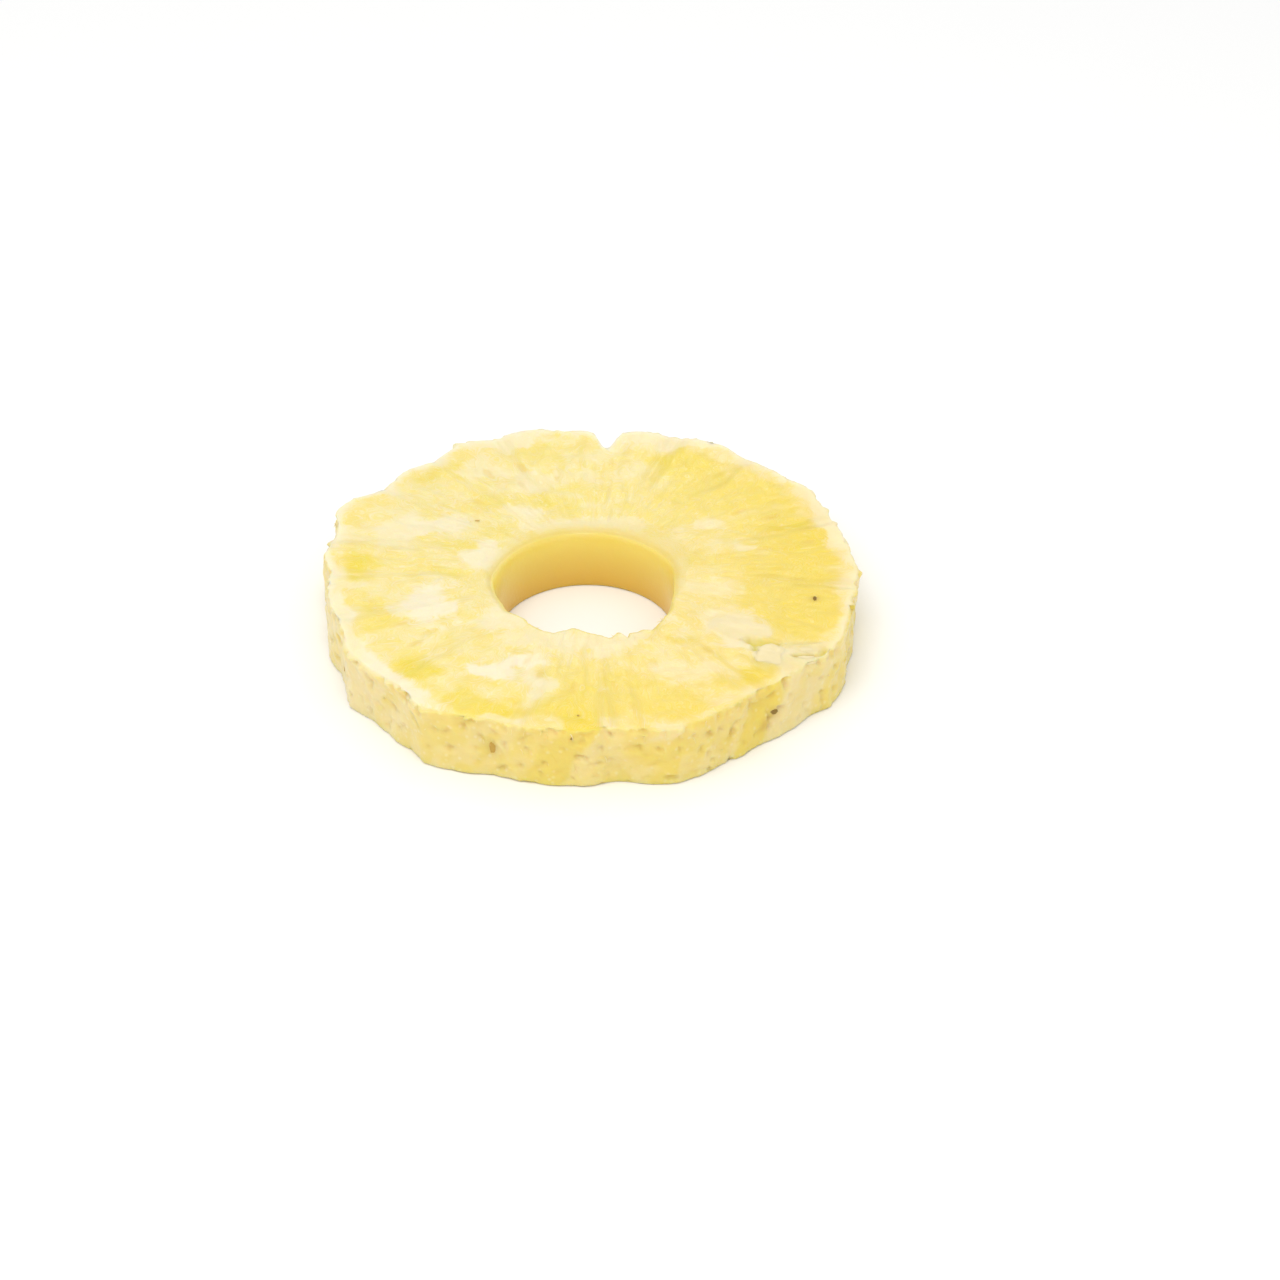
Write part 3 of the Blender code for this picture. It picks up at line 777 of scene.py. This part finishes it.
strands = []
for _ in range(34):  # round the front of the hole's top rim
    heading_degrees = draw.uniform(228, 334)
    out = Vector((*headings(heading_degrees), 0.0))
    level = face_height - draw.uniform(0.15, 1.6) * MM
    start = flesh_tree.ray_cast(Vector((*hole_middle, level)), out)[0]
    stray = Vector((draw.uniform(-0.9, 0.9), draw.uniform(-0.9, 0.9), draw.uniform(-0.5, 0.35)))
    way = (stray - out).normalized()
    strands.append((start, way, draw.uniform(0.5, 1.5) * MM, draw.uniform(0.10, 0.22) * MM, 0.12))
for _ in range(90):  # on the outer wall, half of them close under its top edge
    heading_degrees = draw.uniform(0, 360)
    out = Vector((*headings(heading_degrees), 0.0))
    level = face_height - draw.choice((draw.uniform(0.3, 1.8), draw.uniform(2.0, 9.0))) * MM
    middle = Vector((*FRUIT_AXIS, level))
    start = flesh_tree.ray_cast(middle + out * WELL_OUTSIDE, -out)[0]
    stray = Vector((draw.uniform(-1, 1), draw.uniform(-1, 1), draw.uniform(-1.2, 0.1)))
    way = (out * 0.45 + stray).normalized()
    strands.append((start, way, draw.uniform(0.5, 1.4) * MM, draw.uniform(0.10, 0.24) * MM, 0.30))
for _ in range(26):  # along the tear, which slants outward and towards the front
    x = draw.uniform(TEAR_START[0], TEAR_END)
    y = TEAR_START[1] + (x - TEAR_START[0]) * TEAR_SLOPE + draw.uniform(-1.2, 0.6)
    above = Vector((x * MM + FRUIT_AXIS[0], y * MM + FRUIT_AXIS[1], WELL_OUTSIDE))
    start = flesh_tree.ray_cast(above, Vector((0, 0, -1)))[0]
    way = Vector((draw.uniform(-1, 1), draw.uniform(-1, 1), draw.uniform(0.15, 0.6))).normalized()
    strands.append((start, way, draw.uniform(0.5, 1.5) * MM, draw.uniform(0.10, 0.22) * MM, 0.25))
strands = [strand(*row) for row in strands if row[0]]
threads_piece = piece("loose_threads", *joined(strands), torn_matter)
keep_on(threads_piece.data, {"pale": 0.4, "pale_strength": 0.8})
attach(threads_piece, "root")

# ---------------------------------------------------------------------------------------------------------
# Eye specks. What is left of the skin's eyes after peeling: brown, dry, lumpy bits of rind, from half a
# millimetre to nearly three across, that sit in small pits in the flesh.

SPECK_LEVELS, SPECK_ROUND, SPECK_THICK = 8, 14, 0.24 * MM


def speck(number, place, heading_degrees, on_face, half_width, half_height):
    """A lumpy flat bit of rind that lies on the flesh, on the face or on the outer wall."""
    out = Vector((*headings(heading_degrees), 0.0))
    look = Vector((0, 0, -1)) if on_face else -out
    start, normal, _, _ = flesh_tree.ray_cast(Vector(place) - look * 5 * MM, look)
    across, upright = Vector((1, 0, 0)), Vector((0, 1, 0))
    if not on_face:
        upright = normal.cross(Vector((*headings(heading_degrees + 90.0), 0.0))).normalized()
        across = upright.cross(normal).normalized()

    def corner(turn, wide, rise):
        c, s = math.cos(turn), math.sin(turn)
        lump = 1 + 0.35 * noise.noise(Vector((c * 1.7, s * 1.7, rise + number * 4.0)))
        flat = (across * c * half_width + upright * s * half_height) * wide * lump * MM
        return tuple(start + flat + normal * rise * lump * SPECK_THICK / 2)

    return rounded_body(SPECK_LEVELS, SPECK_ROUND, corner)


# Dried rind: dark brown where it is thickest and lighter where it thins out, dull and finely wrinkled.
rind_matter = bpy.data.materials.new("dried_pineapple_rind")
rind_matter.use_nodes = True
rind_tree = rind_matter.node_tree
rind = rind_tree.nodes["Principled BSDF"]
rind_place = add(rind_tree, "ShaderNodeTexCoord").outputs["Object"]
wrinkles = add(rind_tree, "ShaderNodeTexNoise",
               {"Vector": rind_place, "Scale": 1 / (0.35 * MM), "Detail": 3})
rind_dark = add(rind_tree, "ShaderNodeAttribute", attribute_name="dark").outputs["Fac"]
rind_share = add(rind_tree, "ShaderNodeMath", {0: wrinkles, 1: -0.3, 2: rind_dark},
                 operation="MULTIPLY_ADD")
rind_tone = add(rind_tree, "ShaderNodeMix",
                {0: rind_share, FIRST: colour("#C8A045"), SECOND: colour("#5A4306")}, data_type="RGBA")
rind_tree.links.new(rind_tone.outputs[MIXED], rind.inputs["Base Color"])
rind_relief = add(rind_tree, "ShaderNodeBump", {"Strength": 0.6, "Distance": 0.05 * MM, "Height": wrinkles})
rind_tree.links.new(rind_relief.outputs[0], rind.inputs["Normal"])
rind.inputs["Roughness"].default_value = 0.75
bits = [
    speck(number, place, heading_degrees, reach_out > 0, half_width, half_height)
    for number, (place, (heading_degrees, reach_out, _, half_width, half_height, _))
    in enumerate(zip(eye_places, EYES))
]
specks = piece("eye_specks", *joined(bits), rind_matter)
keep_on(specks.data, {"dark": np.repeat([dark for *_, dark in EYES], len(bits[0][0]))})
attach(specks, "root")

# ---------------------------------------------------------------------------------------------------------
# The table under it: a flat board covered with plain white card, wide enough to run out of sight. It is
# only there to carry the slice and its shadow.

FLOOR_HALF = 3.0
FLOOR_GAP = 0.00002  # the board lies this far under the slice, so that the two never share a plane
floor_mesh = bpy.data.meshes.new("table_board")
floor_mesh.from_pydata(
    [(-FLOOR_HALF, -FLOOR_HALF, 0), (FLOOR_HALF, -FLOOR_HALF, 0), (FLOOR_HALF, FLOOR_HALF, 0),
     (-FLOOR_HALF, FLOOR_HALF, 0)], [], [(0, 1, 2, 3)])
floor = bpy.data.objects.new("table_board", floor_mesh)
bpy.context.scene.collection.objects.link(floor)
floor.location.z = -FLOOR_GAP

# Matt white card: no shine, so the slice's soft shadow is all that shows on it.
floor_matter = bpy.data.materials.new("white_card")
floor_matter.use_nodes = True
card = floor_matter.node_tree.nodes["Principled BSDF"]
card.inputs["Base Color"].default_value = colour("#F9F9F8")
card.inputs["Roughness"].default_value = 0.8
floor_mesh.materials.append(floor_matter)

# ---------------------------------------------------------------------------------------------------------
# Light: a bright white room, one broad soft lamp high up in front, and a weaker one far behind.

world = bpy.data.worlds.new("white_room")
world.use_nodes = True
room = world.node_tree.nodes["Background"]
room.inputs["Color"].default_value = (1, 1, 1, 1)
room.inputs["Strength"].default_value = 0.82
bpy.context.scene.world = world


def softbox(name, place, aim, size, power):
    """A square lamp at a place, turned towards another, its side in metres and its power in watts."""
    lamp = bpy.data.lights.new(name, "AREA")
    lamp.size = size
    lamp.energy = power
    lit = bpy.data.objects.new(name, lamp)
    lit.location = place
    lit.rotation_euler = (Vector(aim) - Vector(place)).to_track_quat("-Z", "Y").to_euler()
    bpy.context.scene.collection.objects.link(lit)


softbox("front_window", (-0.08, -0.24, 0.60), (0, 0, 0), 0.45, 1.75)
softbox("back_window", (0.15, 0.95, 0.62), (0, 0, 0), 0.35, 0.5)

# ---------------------------------------------------------------------------------------------------------
# Camera: a short telephoto looking down at the slice from the front, at arm's length.

CAMERA_PITCH = 35.5  # degrees below the horizon
eye = bpy.data.cameras.new("camera")
eye.lens = 100
eye.sensor_width = 36
camera = bpy.data.objects.new("camera", eye)
camera.location = Vector((8.5, -502.8, 344.1 + face_height / MM)) * MM  # in millimetres before the scaling
camera.rotation_euler = (math.radians(90 - CAMERA_PITCH), 0, 0)
bpy.context.scene.collection.objects.link(camera)
bpy.context.scene.camera = camera
bpy.context.scene.view_settings.view_transform = "Standard"
